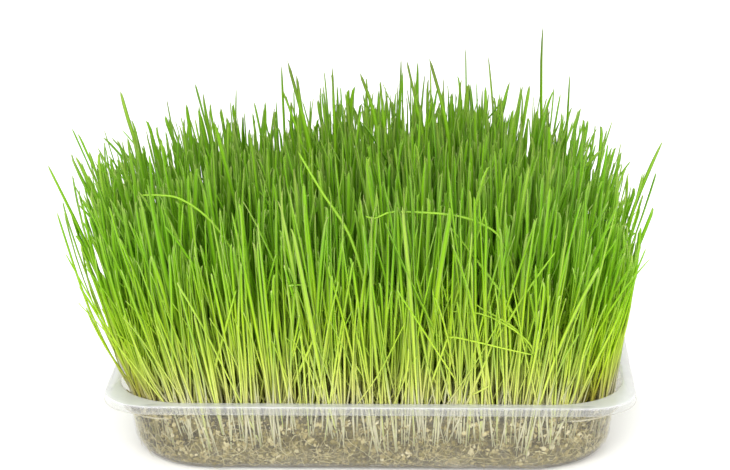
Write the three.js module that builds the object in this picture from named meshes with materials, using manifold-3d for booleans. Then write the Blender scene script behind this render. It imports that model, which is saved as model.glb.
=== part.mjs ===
// A tray of wheatgrass: a clear plastic food tray, the growing medium that fills it, and
// tufts of seedlings that stand in the medium. Millimetres, +Z up, origin at the centre of
// the tray's underside. The tray's long side runs along X, and its front faces -Y.

import * as THREE from "three";
import { mergeVertices } from "three/addons/utils/BufferGeometryUtils.js";
import Module from "manifold-3d";

// Tray
const TRAY_WIDTH = 280; // across the flange, along X
const TRAY_DEPTH = 190; // across the flange, along Y
const TRAY_HEIGHT = 42;
const WALL = 0.9;
const FLANGE_CORNER = 26; // plan radius of the flange's outer corner
const FLANGE_WIDTH = 7; // on the straight sides; wider in the corners
const MOUTH_CORNER = 36; // plan radius of the inner wall at the mouth
const SKIRT = 3.8; // how far the flange's edge turns down
const LEDGE_HEIGHT = 34; // corner ledges on which a stacked tray rests
const LEDGE_CORNER = 46; // plan radius of the wall below the ledges
const WALL_TAPER = 0.156; // how far the wall draws in per millimetre of height
const FOOT_FILLET = 12;
const CORNER_STEPS = 6; // flat facets that each rounded corner is cut into

// Growing medium
const GAP = 0.3; // between pieces that touch
const SOIL_TOP = 29.5;
const SOIL_WAVE = 1.3; // how far its top rises and falls along the wall
const SOIL_EDGE = 11; // width of that uneven strip

// Tufts of seedlings
const ROW_COUNTS = [7, 8, 7, 8, 7, 6]; // tufts in each row, from the front; staggered
const CROWN_RADIUS = 13; // the knot of seeds and roots that holds a tuft together
const CROWN_SIDES = 6;
const CROWN_DEPTH = 15;
const CROWN_TAPER = 0.78; // its radius at the bottom, as a share of that at the top
const CROWN_FROM_WALL = 3; // clearance between a crown and the tray's wall
const CROWN_RISE = 0.4; // how far the lowest crown stands above the medium
const CROWN_UNEVEN = 0.9; // how much further the highest one does
const PLACE_SPREAD = 0.9; // how far a tuft strays from its place in the row

// Blades, with angles in degrees
const BLADES_PER_TUFT = 12; // besides the leaders and the arching blades
const BLADE_LENGTH = 124;
const BLADE_LENGTH_SPREAD = 15;
const BLADE_WIDTH = 2.7;
const BLADE_THICKNESS = 1.15;
const BLADE_ROOT = 4; // how far a blade is sunk into its crown
const BLADE_INSET = 3.6; // how far inside the crown's edge the outermost blade stands
const BLADE_CLEARANCE = 3.0; // between the middle lines of any two blades
const RIM_CLEARANCE = 2; // between a blade's middle line and the tray's mouth
const TRIES = 60; // draws for each blade before its place is given up
const LEAN_LEFT = 18; // slant of the blades at the tray's left end
const LEAN_RIGHT = 13; // and at its right end
const LEAN_SIDES = 8; // and along its front and back
const LEAN_FAN = 4; // slant of a tuft's outer blades, away from its middle
const LEAN_SPREAD = 4;
const STRAIGHTENING = 0.4; // share of its slant that a blade loses as it rises
const BEND_SPREAD = 9; // slant that a blade gains towards its tip
const EDGE_SHORTER = 8; // how much shorter the blades at the tray's edge are
const LATE_SHARE = 0.12; // share of the blades that sprouted late
const LATE_LENGTH = 0.72; // their length, as a share of the others'
const SHORTEST = 62;
const ARCHING_EVERY = 7; // one weak blade that arches over in every so many tufts
const FAR_BEND = 40; // a blade that bends further than this is cut into more steps
const ARCH_BEND = 85;
const ARCH_BEND_MORE = 30; // the most that an arching blade bends beyond that

// Blades that stand out of the rest: the tuft that they grow from, counted from the left
// and from the front, their length, and their slant at the root towards X and Y.
const LEADERS = [
  { column: 6, row: 4, length: 186, lean: [-1, 1], bend: 2 },
  { column: 6, row: 4, length: 161, lean: [5, 1], bend: -3 },
  { column: 5, row: 5, length: 163, lean: [-5, 1], bend: 3 },
  { column: 3, row: 5, length: 163, lean: [5, 1], bend: -3 },
  { column: 3, row: 4, length: 170, lean: [7, 1], bend: -3 },
  { column: 2, row: 5, length: 156, lean: [-4, 1], bend: 2 },
  { column: 1, row: 5, length: 160, lean: [1, 1], bend: -4 },
  { column: 0, row: 4, length: 158, lean: [-25, 1], bend: -4 },
  { column: 0, row: 3, length: 136, lean: [-28, 1], bend: 6 },
  { column: 0, row: 1, length: 142, lean: [-29, 2], bend: 10 },
  { column: 7, row: 3, length: 137, lean: [20, 1], bend: 10 },
  { column: 7, row: 1, length: 117, lean: [24, -1], bend: 8 },
];

const degrees = THREE.MathUtils.degToRad;
const wasm = await Module();
wasm.setup();

// A seeded source of random numbers from 0 to 1.
function randomSource(seed) {
  let state = seed >>> 0;
  return () => {
    state = (state + 0x6d2b79f5) >>> 0;
    let t = state;
    t = Math.imul(t ^ (t >>> 15), t | 1);
    t ^= t + Math.imul(t ^ (t >>> 7), t | 61);
    return ((t ^ (t >>> 14)) >>> 0) / 4294967296;
  };
}

const random = randomSource(20261);
const spread = (amount) => (random() * 2 - 1) * amount;
// Close to a bell curve with this standard deviation.
const bell = (deviation) => (random() + random() + random() - 1.5) * 2 * deviation;

// A closed geometry as a solid for joining and cutting.
function solid(geometry) {
  const bare = geometry.index ? geometry.toNonIndexed() : geometry.clone();
  bare.deleteAttribute("normal");
  bare.deleteAttribute("uv");
  const merged = mergeVertices(bare, 1e-4);
  return new wasm.Manifold(
    new wasm.Mesh({
      numProp: 3,
      vertProperties: merged.attributes.position.array,
      triVerts: new Uint32Array(merged.index.array),
    }),
  );
}

// A solid back as a geometry.
function geometryOf(manifold) {
  const { numProp, vertProperties, triVerts } = manifold.getMesh();
  const position = new Float32Array((vertProperties.length / numProp) * 3);
  for (let i = 0; i < position.length / 3; i++) {
    position.set(vertProperties.subarray(i * numProp, i * numProp + 3), i * 3);
  }
  const geometry = new THREE.BufferGeometry();
  geometry.setAttribute("position", new THREE.BufferAttribute(position, 3));
  geometry.setIndex(new THREE.BufferAttribute(triVerts, 1));
  geometry.computeVertexNormals();
  return geometry;
}

// The points of a rounded rectangle, anticlockwise seen from above. inset is measured from
// the flange's outer edge, and each straight side is cut into sideSteps.
function outline(inset, corner, sideSteps = 1) {
  const a = TRAY_WIDTH / 2 - inset;
  const b = TRAY_DEPTH / 2 - inset;
  const path = new THREE.Path();
  path.absarc(a - corner, b - corner, corner, 0, Math.PI / 2);
  path.absarc(corner - a, b - corner, corner, Math.PI / 2, Math.PI);
  path.absarc(corner - a, corner - b, corner, Math.PI, Math.PI * 1.5);
  path.absarc(a - corner, corner - b, corner, Math.PI * 1.5, Math.PI * 2);
  path.closePath();
  const points = [];
  for (const curve of path.curves) {
    const steps = curve.isLineCurve ? sideSteps : CORNER_STEPS;
    points.push(...curve.getPoints(steps).slice(0, -1));
  }
  return points;
}

// A closed body through rings of equally many points, with a flat cap on the first ring
// and on the last. The rings run from the underside, up the outside and back inside.
function loft(rings) {
  const count = rings[0].length;
  const index = [];
  for (let k = 0; k + 1 < rings.length; k++) {
    for (let i = 0; i < count; i++) {
      const j = (i + 1) % count;
      const [p, q, r, s] = [k * count + i, k * count + j, (k + 1) * count + j, (k + 1) * count + i];
      index.push(p, q, r, p, r, s);
    }
  }
  const last = (rings.length - 1) * count;
  for (let i = 1; i + 1 < count; i++) {
    index.push(0, i + 1, i, last, last + i, last + i + 1);
  }
  const geometry = new THREE.BufferGeometry().setFromPoints(rings.flat());
  geometry.setIndex(index);
  geometry.computeVertexNormals();
  return geometry;
}

// How far the wall stands in from the flange's edge at a height, and its corner's radius
// there, on the outside of the wall, or off that side towards the middle.
function wallAt(z, off = 0) {
  const inset = FLANGE_WIDTH - WALL + (TRAY_HEIGHT - z) * WALL_TAPER + off;
  const aboveLedge = z >= LEDGE_HEIGHT;
  const corner = (aboveLedge ? MOUTH_CORNER + WALL : LEDGE_CORNER) - off;
  return { inset, corner, z };
}

// The rounded edge between floor and wall, from the floor up, at off from the outside.
function footRings(off) {
  const radius = FOOT_FILLET - off;
  const top = wallAt(FOOT_FILLET, off);
  return [0, 30, 60, 90].map((angle) => {
    const turn = radius * (1 - Math.sin(degrees(angle)));
    return {
      inset: top.inset + turn,
      corner: top.corner - turn,
      z: FOOT_FILLET - radius * Math.cos(degrees(angle)),
    };
  });
}

// The tray's sections, from the middle of its underside, up the outside of the wall, round
// the flange and its skirt, and down the inside to the floor.
function trayGeometry() {
  const ledgeDrop = 0.6;
  const lip = 0.4; // rounding of the flange's edges
  const skirtWall = 0.8;
  const top = TRAY_HEIGHT;
  const justBelow = (z, off) => ({ ...wallAt(z - 1e-6, off), z: z - ledgeDrop });
  const sections = [
    ...footRings(0),
    justBelow(LEDGE_HEIGHT, 0),
    wallAt(LEDGE_HEIGHT),
    wallAt(top - WALL),
    { inset: skirtWall, corner: FLANGE_CORNER - skirtWall, z: top - WALL },
    { inset: skirtWall - lip, corner: FLANGE_CORNER - skirtWall + lip, z: top - SKIRT },
    { inset: -lip, corner: FLANGE_CORNER + lip, z: top - SKIRT },
    { inset: 0, corner: FLANGE_CORNER, z: top - lip },
    { inset: 2 * lip, corner: FLANGE_CORNER - 2 * lip, z: top },
    { inset: FLANGE_WIDTH - lip, corner: MOUTH_CORNER + lip, z: top },
    wallAt(top - 2 * lip, WALL),
    wallAt(LEDGE_HEIGHT + WALL, WALL),
    { ...justBelow(LEDGE_HEIGHT, WALL), z: LEDGE_HEIGHT + WALL - ledgeDrop },
    ...footRings(WALL).reverse(),
  ];
  return loft(
    sections.map(({ inset, corner, z }) =>
      outline(inset, corner).map((p) => new THREE.Vector3(p.x, p.y, z)),
    ),
  );
}

// How far a point lies outside a rounded rectangle; negative inside.
function outsideBy(x, y, { inset, corner }) {
  const dx = Math.abs(x) - (TRAY_WIDTH / 2 - inset - corner);
  const dy = Math.abs(y) - (TRAY_DEPTH / 2 - inset - corner);
  return Math.hypot(Math.max(dx, 0), Math.max(dy, 0)) + Math.min(Math.max(dx, dy), 0) - corner;
}

// The height of the medium's top where it meets the tray's wall, which it does unevenly.
function groundAtWall(x, y) {
  return SOIL_TOP + SOIL_WAVE * Math.sin(x / 21 + 0.8) * Math.cos(y / 17 - 0.4);
}

// The growing medium, which fills the tray to an uneven edge and a flat top.
function mediumGeometry() {
  const sideSteps = 5;
  const off = WALL + GAP;
  const ringAt = ({ inset, corner, z }) =>
    outline(inset, corner, sideSteps).map((p) => new THREE.Vector3(p.x, p.y, z));
  const edge = wallAt(SOIL_TOP, off);
  const inner = { inset: edge.inset + SOIL_EDGE, corner: edge.corner - SOIL_EDGE, z: SOIL_TOP };
  return loft([
    ...footRings(off).map(ringAt),
    ringAt(edge).map((p) => p.setZ(groundAtWall(p.x, p.y))),
    ringAt(inner),
  ]);
}

// Where each tuft stands: staggered rows, a little uneven, kept clear of the tray's wall.
function tuftPlaces() {
  const wall = wallAt(SOIL_TOP - CROWN_DEPTH, WALL + GAP);
  const margin = CROWN_RADIUS + CROWN_FROM_WALL;
  const reachX = TRAY_WIDTH / 2 - wall.inset - margin;
  const reachY = TRAY_DEPTH / 2 - wall.inset - margin;
  const pitchX = (2 * reachX) / (Math.max(...ROW_COUNTS) - 1);
  const pitchY = (2 * reachY) / (ROW_COUNTS.length - 1);
  const places = [];
  for (const [row, count] of ROW_COUNTS.entries()) {
    for (let column = 0; column < count; column++) {
      const x = (column - (count - 1) / 2) * pitchX + spread(PLACE_SPREAD);
      const y = row * pitchY - reachY + spread(PLACE_SPREAD);
      const place = new THREE.Vector2(x, y);
      while (outsideBy(place.x, place.y, wall) > -margin + PLACE_SPREAD) place.multiplyScalar(0.995);
      places.push({ row, column, x: place.x, y: place.y });
    }
  }
  return places;
}

// A tuft's tapered crown with its top at z = 0, or, for the hole that it stands in, grown
// by grow on every side and carried on upwards by above.
function crownGeometry(grow = 0, above = 0) {
  const side = grow / Math.cos(Math.PI / CROWN_SIDES);
  const below = CROWN_DEPTH + grow;
  const slope = (CROWN_RADIUS * (1 - CROWN_TAPER)) / CROWN_DEPTH;
  const topRadius = CROWN_RADIUS + slope * above + side;
  const bottomRadius = CROWN_RADIUS - slope * below + side;
  const crown = new THREE.CylinderGeometry(topRadius, bottomRadius, below + above, CROWN_SIDES);
  crown.rotateX(Math.PI / 2);
  crown.translate(0, 0, (above - below) / 2);
  return crown;
}

// The middle line of a blade. lean is its slant at the root in degrees, towards X and Y.
// A blade straightens as it rises, and bend is the slant, in degrees, that it gains at its
// tip. A blade that bends far gets more steps.
function bladeLine({ root, lean, bend, length }) {
  const shares = bend > FAR_BEND ? [0, 0.3, 0.5, 0.66, 0.8, 0.91, 1] : [0, 0.36, 0.7, 1];
  const slant = lean.length();
  const heading = slant > 0 ? lean.clone().divideScalar(slant) : new THREE.Vector2(1, 0);
  const points = [root.clone()];
  for (let i = 1; i < shares.length; i++) {
    const middle = (shares[i] + shares[i - 1]) / 2;
    const angle = degrees(slant * (1 - STRAIGHTENING * middle) + bend * middle ** 3);
    const step = length * (shares[i] - shares[i - 1]);
    points.push(
      new THREE.Vector3(
        heading.x * Math.sin(angle) * step,
        heading.y * Math.sin(angle) * step,
        Math.cos(angle) * step,
      ).add(points[i - 1]),
    );
  }
  return { points, shares };
}

// A blade as a slim three-sided body along its middle line: two edges and a keel, swelling
// above the root and closing to a point. turn is the way its flat face looks, in radians.
// The swelling is a stretch of half a sine wave, and the keel thins towards the tip.
function bladeGeometry({ points, shares }, turn) {
  const swellStart = 0.2;
  const swellEnd = 0.82;
  const keelThinning = 0.25;
  const position = [];
  const across = new THREE.Vector3(Math.cos(turn), Math.sin(turn), 0);
  for (let i = 0; i + 1 < points.length; i++) {
    const ahead = points[i + 1].clone().sub(points[Math.max(i - 1, 0)]).normalize();
    const side = across.clone().addScaledVector(ahead, -across.dot(ahead)).normalize();
    const back = new THREE.Vector3().crossVectors(ahead, side);
    const swell = Math.sin(Math.PI * THREE.MathUtils.lerp(swellStart, swellEnd, shares[i]));
    const half = (BLADE_WIDTH / 2) * swell;
    const keel = BLADE_THICKNESS * (1 - keelThinning * shares[i]);
    const centre = points[i];
    position.push(
      centre.clone().addScaledVector(side, half).addScaledVector(back, -keel / 3),
      centre.clone().addScaledVector(side, -half).addScaledVector(back, -keel / 3),
      centre.clone().addScaledVector(back, (keel * 2) / 3),
    );
  }
  position.push(points[points.length - 1]);
  const index = [0, 1, 2];
  const tip = position.length - 1;
  for (let base = 0; base < tip; base += 3) {
    for (let i = 0; i < 3; i++) {
      const j = (i + 1) % 3;
      if (base + 3 === tip) {
        index.push(base + j, base + i, tip);
      } else {
        index.push(base + j, base + i, base + 3 + i, base + j, base + 3 + i, base + 3 + j);
      }
    }
  }
  const geometry = new THREE.BufferGeometry().setFromPoints(position);
  geometry.setIndex(index);
  return geometry;
}

// True where a middle line keeps clear of every blade so far, and of the tray's mouth.
function isClear(points, grown) {
  const mouth = wallAt(TRAY_HEIGHT, WALL);
  const segments = points.slice(1).map((p, i) => new THREE.Line3(points[i], p));
  const share = (TRAY_HEIGHT - points[0].z) / (points[1].z - points[0].z);
  const atRim = segments[0].at(share, new THREE.Vector3());
  if (outsideBy(atRim.x, atRim.y, mouth) > -RIM_CLEARANCE) return false;
  const box = new THREE.Box3().setFromPoints(points).expandByScalar(BLADE_CLEARANCE);
  for (const other of grown) {
    if (!box.intersectsBox(other.box)) continue;
    for (const mine of segments) {
      for (const theirs of other.segments) {
        if (mine.distanceSqToLine3(theirs) < BLADE_CLEARANCE ** 2) return false;
      }
    }
  }
  grown.push({ box: new THREE.Box3().setFromPoints(points), segments });
  return true;
}

// True where a blade is still inside its crown at the height of the medium's highest point.
function isRooted({ place }, points) {
  const share = (SOIL_TOP + SOIL_WAVE - points[0].z) / (points[1].z - points[0].z);
  const atTop = new THREE.Vector3().lerpVectors(points[0], points[1], share);
  return Math.hypot(atTop.x - place.x, atTop.y - place.y) < CROWN_RADIUS - BLADE_INSET;
}

// A root inside a crown: its place, and its distance and way from the crown's middle.
function drawRoot(tuft) {
  const reach = CROWN_RADIUS - BLADE_INSET;
  const turn = random() * Math.PI * 2;
  const radius = reach * Math.sqrt(random());
  const root = new THREE.Vector3(
    tuft.place.x + radius * Math.cos(turn),
    tuft.place.y + radius * Math.sin(turn),
    tuft.crownTop - BLADE_ROOT,
  );
  return { root, turn, share: radius / reach };
}

// One blade of a tuft by the rule: it slants away from the tuft's middle and, near the
// tray's edge, outwards over it.
function drawBlade(tuft) {
  const { root, turn, share } = drawRoot(tuft);
  const rim = wallAt(TRAY_HEIGHT, SOIL_EDGE);
  const edgeX = root.x / (TRAY_WIDTH / 2 - rim.inset);
  const edgeY = root.y / (TRAY_DEPTH / 2 - rim.inset);
  const outwardX = Math.sign(edgeX) * Math.abs(edgeX) ** 2.4 * (edgeX < 0 ? LEAN_LEFT : LEAN_RIGHT);
  const outwardY = Math.sign(edgeY) * Math.abs(edgeY) ** 3 * LEAN_SIDES;
  const lean = new THREE.Vector2(
    outwardX + share * LEAN_FAN * Math.cos(turn) + bell(LEAN_SPREAD),
    outwardY + share * LEAN_FAN * Math.sin(turn) + bell(LEAN_SPREAD),
  );
  const edge = Math.min(1, Math.max(Math.abs(edgeX), Math.abs(edgeY)));
  let length = BLADE_LENGTH + bell(BLADE_LENGTH_SPREAD) - EDGE_SHORTER * edge ** 4;
  if (random() < LATE_SHARE) length *= LATE_LENGTH;
  return { root, lean, bend: bell(BEND_SPREAD), length: Math.max(length, SHORTEST) };
}

// A weak blade, a little shorter, that arches over.
function drawArchingBlade(tuft) {
  const length = BLADE_LENGTH * (0.8 + 0.3 * random());
  const bend = ARCH_BEND + ARCH_BEND_MORE * random();
  return { ...drawBlade(tuft), length, bend };
}

// All the tufts: the leaders first, then the arching blades, then the rest by the rule.
function tufts(material) {
  const grown = [];
  const made = tuftPlaces().map((place) => {
    const crownTop = SOIL_TOP + CROWN_RISE + CROWN_UNEVEN * random();
    return { place, crownTop, blades: [] };
  });
  const plant = (tuft, blade) => {
    const line = bladeLine(blade);
    if (!isRooted(tuft, line.points) || !isClear(line.points, grown)) return false;
    tuft.blades.push({ line, turn: random() * Math.PI * 2 });
    return true;
  };
  for (const { column, row, length, lean, bend } of LEADERS) {
    const tuft = made.find(({ place }) => place.row === row && place.column === column);
    for (let t = 0; t < TRIES; t++) {
      if (plant(tuft, { root: drawRoot(tuft).root, lean: new THREE.Vector2(...lean), bend, length })) break;
    }
  }
  for (let k = Math.floor(ARCHING_EVERY / 2); k < made.length; k += ARCHING_EVERY) {
    for (let t = 0; t < TRIES; t++) {
      if (plant(made[k], drawArchingBlade(made[k]))) break;
    }
  }
  for (const tuft of made) {
    const full = tuft.blades.length + BLADES_PER_TUFT;
    for (let t = 0; t < TRIES * BLADES_PER_TUFT && tuft.blades.length < full; t++) {
      plant(tuft, drawBlade(tuft));
    }
  }
  return made.map(({ place, crownTop, blades }, k) => {
    const centre = new THREE.Vector3(place.x, place.y, crownTop);
    let body = solid(crownGeometry());
    for (const { line, turn } of blades) {
      const geometry = bladeGeometry(line, turn);
      geometry.translate(-centre.x, -centre.y, -centre.z);
      body = body.add(solid(geometry));
    }
    const mesh = new THREE.Mesh(geometryOf(body), material);
    mesh.name = "tuft_" + String(k + 1).padStart(2, "0");
    mesh.position.copy(centre);
    return mesh;
  });
}

const trayMaterial = new THREE.MeshStandardMaterial({
  color: 0xe4e8e4,
  roughness: 0.3,
  metalness: 0,
  transparent: true,
  opacity: 0.4,
});
const mediumMaterial = new THREE.MeshStandardMaterial({ color: 0x8a7f66, roughness: 0.95, metalness: 0 });
const grassMaterial = new THREE.MeshStandardMaterial({ color: 0x6ea823, roughness: 0.55, metalness: 0 });

const wheatgrass = new THREE.Group();

const tray = new THREE.Mesh(trayGeometry(), trayMaterial);
tray.name = "tray";
wheatgrass.add(tray);

const seedlings = new THREE.Group();
for (const tuft of tufts(grassMaterial)) seedlings.add(tuft);
wheatgrass.add(seedlings);

const holeAbove = 6; // so that each hole opens through the medium's top
let mediumBody = solid(mediumGeometry());
for (const tuft of seedlings.children) {
  const hole = crownGeometry(GAP, holeAbove);
  hole.translate(tuft.position.x, tuft.position.y, tuft.position.z);
  mediumBody = mediumBody.subtract(solid(hole));
}
const medium = new THREE.Mesh(geometryOf(mediumBody), mediumMaterial);
medium.name = "growing_medium";
wheatgrass.add(medium);

export default wheatgrass;
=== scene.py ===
import bpy
import numpy as np
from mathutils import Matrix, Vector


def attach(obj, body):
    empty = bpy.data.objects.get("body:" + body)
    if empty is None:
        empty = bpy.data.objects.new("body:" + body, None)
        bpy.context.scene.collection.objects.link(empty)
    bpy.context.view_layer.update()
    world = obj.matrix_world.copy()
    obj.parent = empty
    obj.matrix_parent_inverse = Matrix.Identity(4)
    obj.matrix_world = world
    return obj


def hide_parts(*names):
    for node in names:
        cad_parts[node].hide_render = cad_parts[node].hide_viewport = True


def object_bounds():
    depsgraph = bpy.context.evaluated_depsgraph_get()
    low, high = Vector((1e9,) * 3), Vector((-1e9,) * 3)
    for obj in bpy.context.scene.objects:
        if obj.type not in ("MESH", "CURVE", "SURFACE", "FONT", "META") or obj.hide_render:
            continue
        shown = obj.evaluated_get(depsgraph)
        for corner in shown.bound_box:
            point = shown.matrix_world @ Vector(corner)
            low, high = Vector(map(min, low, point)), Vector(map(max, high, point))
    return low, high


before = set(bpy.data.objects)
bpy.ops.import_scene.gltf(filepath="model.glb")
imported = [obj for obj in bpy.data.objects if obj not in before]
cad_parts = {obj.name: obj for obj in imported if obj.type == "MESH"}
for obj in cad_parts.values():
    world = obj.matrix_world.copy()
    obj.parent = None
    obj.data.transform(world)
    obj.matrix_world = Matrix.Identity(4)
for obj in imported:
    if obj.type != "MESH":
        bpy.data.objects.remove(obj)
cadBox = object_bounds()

mm = 0.001
shown = bpy.context.scene
shown.view_settings.view_transform = "Standard"
print("frame loaded:", len(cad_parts), "nodes")


# Materials

# A number or colour that a material works out, with arithmetic on numbers.
class Signal:
    def __init__(self, finish, socket):
        self.finish, self.socket = finish, socket

    # One step of arithmetic as a method; swapped is for a number on the left.
    def maths(operation, swapped=False):
        def step(self, other=0.0):
            first, second = (other, self) if swapped else (self, other)
            return self.finish.add("ShaderNodeMath", {"operation": operation}, {0: first, 1: second})
        return step

    __add__ = __radd__ = maths("ADD")
    __sub__, __rsub__ = maths("SUBTRACT"), maths("SUBTRACT", swapped=True)
    __mul__ = __rmul__ = maths("MULTIPLY")
    __pow__, __abs__, sine = maths("POWER"), maths("ABSOLUTE"), maths("SINE")

    # Runs smoothly from 0 where this number is at low, to 1 where it is at high.
    def fade(self, low, high):
        sockets = {"Value": self, "From Min": low, "From Max": high}
        return self.finish.add("ShaderNodeMapRange", {"interpolation_type": "SMOOTHSTEP"}, sockets)

    # This colour, mixed with another by the other's share.
    def blend(self, share, other):
        sockets = {0: share, 6: self, 7: other}
        return self.finish.add("ShaderNodeMix", {"data_type": "RGBA"}, sockets, output=2)


# A material and the one method that adds nodes to it.
class Finish:
    def __init__(self, name):
        self.material = bpy.data.materials.new(name)
        self.material.use_nodes = True
        self.tree = self.material.node_tree
        self.tree.nodes.clear()

    # A node of this kind: its settings first, then the values or links of its sockets.
    # It returns the node's output by number or name.
    def add(self, kind, settings=None, sockets=None, output=0):
        node = self.tree.nodes.new(kind)
        for name, value in (settings or {}).items():
            setattr(node, name, value)
        for name, value in (sockets or {}).items():
            if isinstance(value, Signal):
                self.tree.links.new(value.socket, node.inputs[name])
            else:
                node.inputs[name].default_value = value
        return Signal(self, node.outputs[output]) if len(node.outputs) else node

    def attribute(self, name):
        return self.add("ShaderNodeAttribute", {"attribute_name": name}, output="Fac")

    def place(self):
        return self.add("ShaderNodeTexCoord", output="Object")

    def noise(self, scale, detail=2.0, roughness=0.5):
        sockets = {"Vector": self.place(), "Scale": scale, "Detail": detail, "Roughness": roughness}
        return self.add("ShaderNodeTexNoise", None, sockets)

    # Colours along a number: each stop is a position and then red, green and blue.
    def ramp(self, value, stops):
        ramped = self.add("ShaderNodeValToRGB", None, {"Fac": value})
        elements = ramped.socket.node.color_ramp.elements
        while len(elements) < len(stops):
            elements.new(1.0)
        for element, (position, *shade) in zip(elements, stops):
            element.position = position
            element.color = colour(*shade)
        return ramped

    def bump(self, height, strength, distance):
        sockets = {"Height": height, "Strength": strength, "Distance": distance}
        return self.add("ShaderNodeBump", None, sockets)

    def principled(self, **sockets):
        named = {name.replace("_", " "): value for name, value in sockets.items()}
        return self.add("ShaderNodeBsdfPrincipled", None, named)

    def finish(self, shader):
        self.add("ShaderNodeOutputMaterial", None, {"Surface": shader})
        return self.material


# Red, green and blue from 0 to 255, as an opaque colour in linear light.
def colour(red, green, blue):
    share = np.array([red, green, blue]) / 255
    linear = np.where(share <= 0.04045, share / 12.92, ((share + 0.055) / 1.055) ** 2.4)
    return (*linear.tolist(), 1.0)


# Shapes

# Vectors brought to length 1.
def unit(vectors):
    return vectors / np.linalg.norm(vectors, axis=-1, keepdims=True)


def addObject(name, data):
    thing = bpy.data.objects.new(name, data)
    shown.collection.objects.link(thing)
    return thing


# Puts points, which may be a grid of them, with faces and per-point values into a new mesh
# object that rides on the one body.
def makePiece(name, points, faces, finish, node=None, values=None, smooth=True):
    mesh = bpy.data.meshes.new(name)
    mesh.from_pydata(points.reshape(-1, 3).tolist(), [], faces)
    for key, numbers in (values or {}).items():
        layer = mesh.attributes.new(key, "FLOAT", "POINT")
        layer.data.foreach_set("value", np.ascontiguousarray(numbers, np.float32))
    mesh.polygons.foreach_set("use_smooth", np.full(len(mesh.polygons), smooth))
    mesh.materials.append(finish)
    mesh.validate()
    piece = addObject(name, mesh)
    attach(piece, "root")
    if node:
        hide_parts(node)


# Faces of copies of one tube in a mesh, from rings of points that follow one another. Its
# two end rings are closed by a face each. A pointed tube ends in a single point instead,
# which comes after its last ring, and its rings run the other way round.
def ringFaces(copies, rings, around, pointed=False):
    step = np.arange(around)
    following = (step + 1) % around
    here, there = (following, step) if pointed else (step, following)
    ring = np.arange(rings - 1)[:, None] * around
    last = (rings - 1) * around
    quads = np.stack([ring + here, ring + there, ring + there + around, ring + here + around], -1)
    if pointed:
        tip = np.full(around, last + around)
        ends = [np.stack([last + here, last + there, tip], -1), step[None]]
    else:
        ends = [np.stack([step[::-1], last + step])]
    start = (np.arange(copies) * (rings * around + pointed))[:, None, None]
    groups = [quads.reshape(-1, 4), *ends]
    return sum(((group + start).reshape(-1, group.shape[1]).tolist() for group in groups), [])


# A lumpy field from about -1.5 to 1.5: the sum of waves that run in random directions, each
# about as long as size in metres.
def lumps(points, size, seed, waves=14):
    draw = np.random.default_rng(seed)
    heading = draw.normal(size=(waves, points.shape[-1]))
    heading *= (2 * np.pi / size) / np.linalg.norm(heading, axis=1, keepdims=True)
    heading *= draw.uniform(0.6, 1.6, (waves, 1))
    phase = draw.uniform(0, 2 * np.pi, waves)
    return np.sin(points @ heading.T + phase).sum(-1) / np.sqrt(waves)


# Camera, light and floor

view = {
    "lens": 115.3,  # mm, on a 36 mm wide sensor
    "place": (0.048172851, -1.220650208, 0.486626186),
    "turn": (72.689924, 0.592263, 2.279146),  # degrees about X, Y and Z
}


# The camera, from the place and turns that a fit on the flange's outline gave.
def makeCamera():
    data = bpy.data.cameras.new("camera")
    data.sensor_width = 36.0
    data.lens = view["lens"]
    camera = addObject("camera", data)
    camera.location = view["place"]
    camera.rotation_euler = np.radians(view["turn"])
    shown.camera = camera


studio = {
    "world": 1.0,
    "floorColour": (250, 250, 248),
    "floorHalf": 8.0,
    "aim": (0.0, 0.0, 0.08),
    # place, width of the square lamp, power in watts
    "lamps": {
        "key": ((-0.7, -2.0, 1.5), 1.6, 44.0),
        "fill": ((1.2, -1.9, 0.5), 1.8, 30.0),
        "top": ((0.1, 0.2, 2.2), 2.0, 20.0),
    },
}


# An even white world, three soft square lamps that are aimed at one point, and the floor.
def makeStudio():
    world = bpy.data.worlds.new("studio")
    world.use_nodes = True
    background = world.node_tree.nodes["Background"]
    background.inputs["Color"].default_value = (1, 1, 1, 1)
    background.inputs["Strength"].default_value = studio["world"]
    shown.world = world
    for name, (place, size, power) in studio["lamps"].items():
        lamp = bpy.data.lights.new(name, "AREA")
        lamp.shape = "SQUARE"
        lamp.size = size
        lamp.energy = power
        holder = addObject(name, lamp)
        holder.location = place
        x, y, z = np.array(studio["aim"]) - np.array(place)
        holder.rotation_euler = (np.arctan2(np.hypot(x, y), -z), 0.0, np.arctan2(y, x) - np.pi / 2)
    floorFinish = Finish("pale_floor")
    shade = floorFinish.principled(Base_Color=colour(*studio["floorColour"]), Roughness=0.9)
    half = studio["floorHalf"]
    mesh = bpy.data.meshes.new("floor")
    corners = [(-half, -half, 0.0), (half, -half, 0.0), (half, half, 0.0), (-half, half, 0.0)]
    mesh.from_pydata(corners, [], [(0, 1, 2, 3)])
    mesh.materials.append(floorFinish.finish(shade))
    floor = addObject("floor", mesh)


makeCamera()
makeStudio()
print("camera, light and floor made")


# Tray

# All in metres, and insets from the flange's outer edge.
tray = {
    "halves": np.array([140, 95]) * mm,  # half of its width and depth
    "height": 42 * mm,
    "wall": 0.6 * mm,
    "flangeWidth": 7 * mm,
    "flangeCorner": 26 * mm,
    "mouthCorner": 36 * mm,
    "skirt": 4.3 * mm,
    "ledgeHeight": 31 * mm,
    "lipCorner": 28 * mm,  # the corner just above the ledge
    "ledgeCorner": 46 * mm,  # and below it
    "taper": 0.156,
    "footFillet": 12 * mm,
    "cadWall": 0.9 * mm,
    "ledgeMilk": 0.6,  # added milkiness of the ledge's lip
    "cornerMilk": 0.25,  # and of the flange's corners
}


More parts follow.
